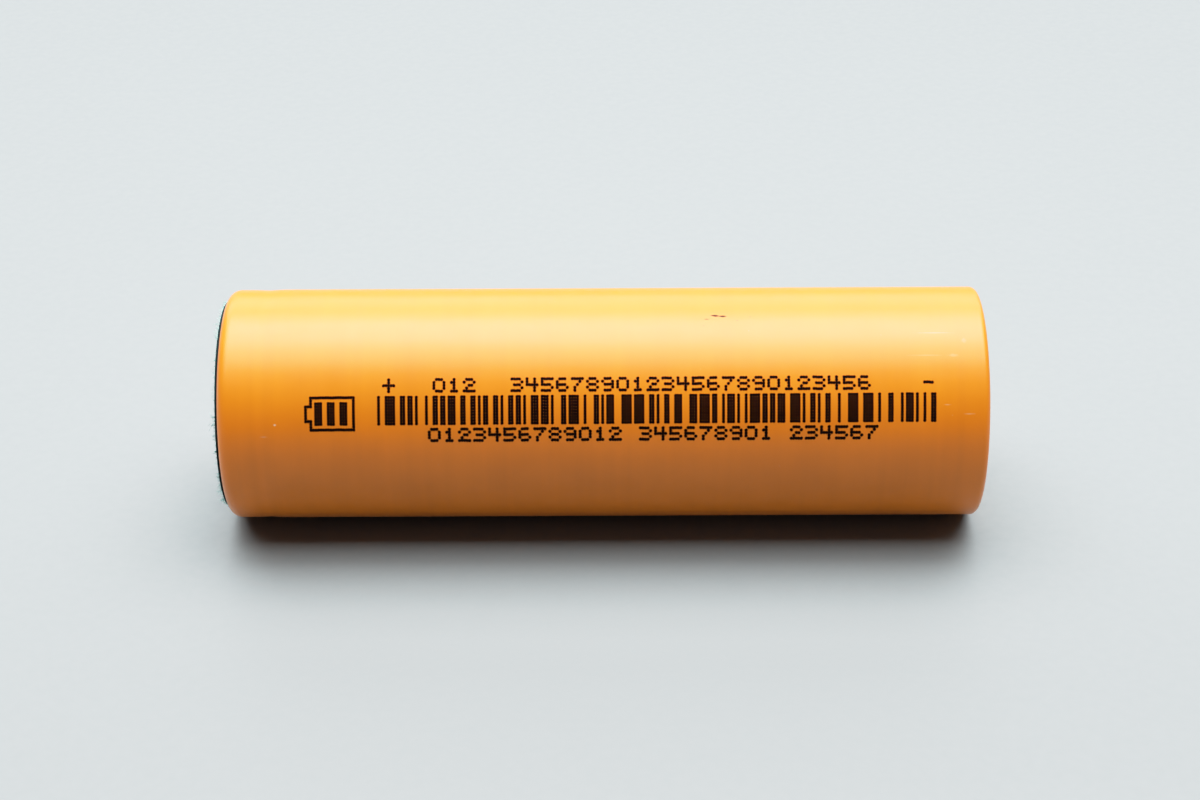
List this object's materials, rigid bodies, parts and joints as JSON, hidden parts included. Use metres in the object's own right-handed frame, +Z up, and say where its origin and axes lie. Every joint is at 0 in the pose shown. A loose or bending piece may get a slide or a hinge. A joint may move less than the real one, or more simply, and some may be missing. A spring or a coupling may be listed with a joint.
{
  "type": "cylindrical battery cell",
  "caption": "Cylindrical lithium-ion cell in a heat-shrunk sleeve, with a raised positive cap, a paper washer, a flat negative base and its wound electrodes and pressure cut-out inside.",
  "frame": {"origin": "under the middle of the cell, on the surface it lies on", "axes": "X along the cell, positive terminal at -X and flat base at +X; +Z up; Y across the cell, which lies on its side with its axis 10.75 mm above the origin"},
  "size_m": [0.0708, 0.0216, 0.0215],
  "materials": {
    "sleeve_film": "satin shrink film",
    "washer_paper": "dark varnished paper",
    "nickel_plated_steel": "drawn and nickel plated",
    "cap_steel": "pressed and nickel plated",
    "gasket_polymer": "moulded",
    "ptc_composite": "carbon-filled polymer",
    "disc_aluminium": "pressed",
    "ring_polymer": "moulded",
    "plate_aluminium": "pressed",
    "insulator_board": "glass-filled board",
    "pin_steel": "rolled",
    "separator_film": "microporous film",
    "copper_foil": "rolled copper",
    "graphite_coating": "calendered",
    "aluminium_foil": "bright rolled",
    "oxide_coating": "calendered",
    "nickel_tab": "nickel strip",
    "aluminium_tab": "strip",
    "tab_tape": "amber polyimide",
    "wrap_tape": "blue polyester",
    "print_ink": "printed marks on the sleeve"
  },
  "bodies": {
    "cell": {"shrink_sleeve": "sleeve_film", "insulating_washer": "washer_paper", "steel_can": "nickel_plated_steel", "positive_cap": "cap_steel", "crimp_gasket": "gasket_polymer", "ptc_ring": "ptc_composite", "pressure_disc_rim": "disc_aluminium", "cid_insulator": "ring_polymer", "cid_plate": "plate_aluminium", "upper_insulator": "insulator_board", "lower_insulator": "insulator_board", "centre_pin": "pin_steel", "separator_inner": "separator_film", "separator_outer": "separator_film", "anode_foil": "copper_foil", "anode_coating": "graphite_coating", "cathode_foil": "aluminium_foil", "cathode_coating": "oxide_coating", "anode_tab": "nickel_tab", "cathode_tab": "aluminium_tab", "anode_tab_tape": "tab_tape", "cathode_tab_tape": "tab_tape", "roll_wrap_tape": "wrap_tape"},
    "pressure_disc": {"pressure_disc_centre": "disc_aluminium"}
  },
  "joints": [
    {"name": "interrupt_trip", "type": "slide", "parent": "cell", "child": "pressure_disc", "axis": [-1, 0, 0], "range_m": [0, 0.0007]}
  ]
}
